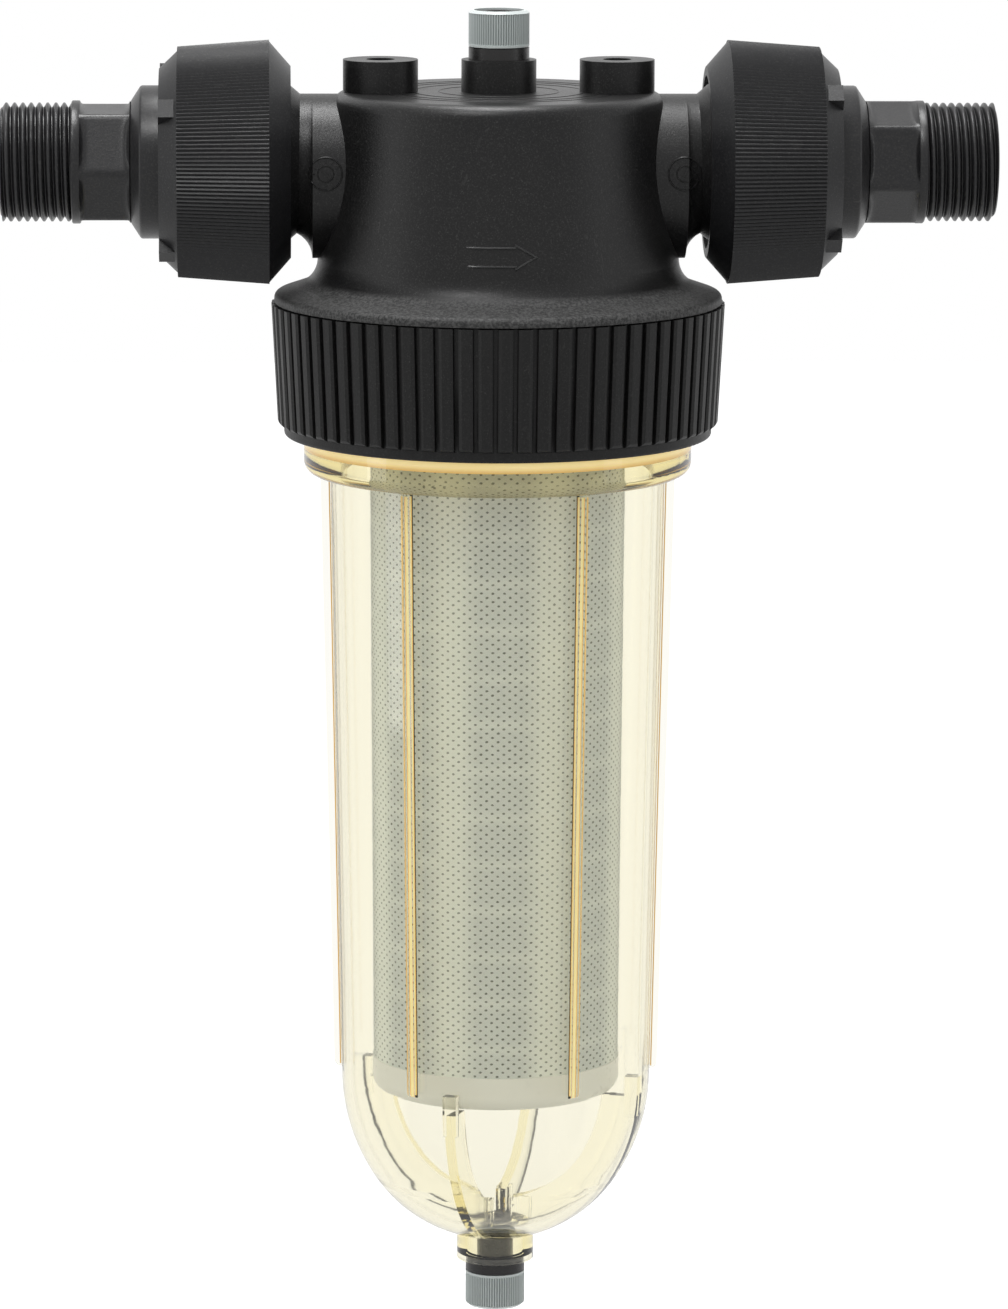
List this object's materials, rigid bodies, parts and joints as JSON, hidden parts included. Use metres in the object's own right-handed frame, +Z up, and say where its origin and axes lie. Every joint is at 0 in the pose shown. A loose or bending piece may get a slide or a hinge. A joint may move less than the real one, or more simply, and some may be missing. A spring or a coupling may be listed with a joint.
{
  "type": "sediment water filter",
  "caption": "In-line sediment filter for a water pipe, with a black ported head, union connections, a clear ribbed bowl under a ribbed clamp ring, a cloth filter sleeve, a vent and a drain.",
  "frame": {"origin": "centre between the two bracket holes, on the bowl's axis, at the top face of the two mounting bosses", "axes": "+X along the pipe from inlet to outlet, +Z up along the bowl's axis, the side with the flow arrow faces -Y"},
  "size_m": [0.2784, 0.1274, 0.3725],
  "materials": {
    "head_plastic": "satin moulded",
    "ring_plastic": "matt moulded",
    "nut_plastic": "matt moulded with fine ridges",
    "tail_plastic": "satin moulded",
    "plug_plastic": "smooth",
    "grey_plastic": "smooth",
    "clear_plastic": "clear with an amber tint",
    "milky_plastic": "milky translucent",
    "inner_plastic": "moulded",
    "sleeve_cloth": "fine filter cloth with staggered dots",
    "seal_rubber": "smooth"
  },
  "bodies": {
    "head": {"filter_head": "head_plastic", "swirl_vane": "inner_plastic", "sleeve_cage": "inner_plastic", "spigot_seal": "seal_rubber", "filter_sleeve": "sleeve_cloth", "sleeve_end_cap": "milky_plastic", "vent_body": "plug_plastic", "vent_seal": "seal_rubber", "inlet_seal": "seal_rubber", "outlet_seal": "seal_rubber"},
    "bowl": {"clear_bowl": "clear_plastic", "bowl_seal": "seal_rubber", "drain_body": "plug_plastic", "drain_seal": "seal_rubber"},
    "ring": {"clamp_ring": "ring_plastic"},
    "vent_knob": {"vent_cap": "grey_plastic"},
    "drain_knob": {"drain_cap": "grey_plastic"},
    "inlet_union": {"inlet_tail": "tail_plastic"},
    "inlet_union_nut": {"inlet_nut": "nut_plastic"},
    "outlet_union": {"outlet_tail": "tail_plastic"},
    "outlet_union_nut": {"outlet_nut": "nut_plastic"}
  },
  "joints": [
    {"name": "bowl_drop", "type": "slide", "parent": "head", "child": "bowl", "axis": [0, 0, -1], "range_m": [0, 0.222]},
    {"name": "ring_turn", "type": "hinge", "parent": "bowl", "child": "ring", "pos_m": [0, 0, -0.0868], "axis": [0, 0, 1], "continuous": true},
    {"name": "vent_cap_turn", "type": "hinge", "parent": "head", "child": "vent_knob", "pos_m": [0, 0, 0.0085], "axis": [0, 0, 1], "continuous": true},
    {"name": "drain_cap_turn", "type": "hinge", "parent": "bowl", "child": "drain_knob", "pos_m": [0, 0, -0.3538], "axis": [0, 0, 1], "continuous": true},
    {"name": "inlet_union_pull", "type": "slide", "parent": "head", "child": "inlet_union", "axis": [-1, 0, 0], "range_m": [0, 0.025]},
    {"name": "inlet_nut_turn", "type": "hinge", "parent": "inlet_union", "child": "inlet_union_nut", "pos_m": [-0.076, 0, -0.0288], "axis": [-1, 0, 0], "continuous": true},
    {"name": "outlet_union_pull", "type": "slide", "parent": "head", "child": "outlet_union", "axis": [1, 0, 0], "range_m": [0, 0.025]},
    {"name": "outlet_nut_turn", "type": "hinge", "parent": "outlet_union", "child": "outlet_union_nut", "pos_m": [0.076, 0, -0.0288], "axis": [1, 0, 0], "continuous": true}
  ]
}
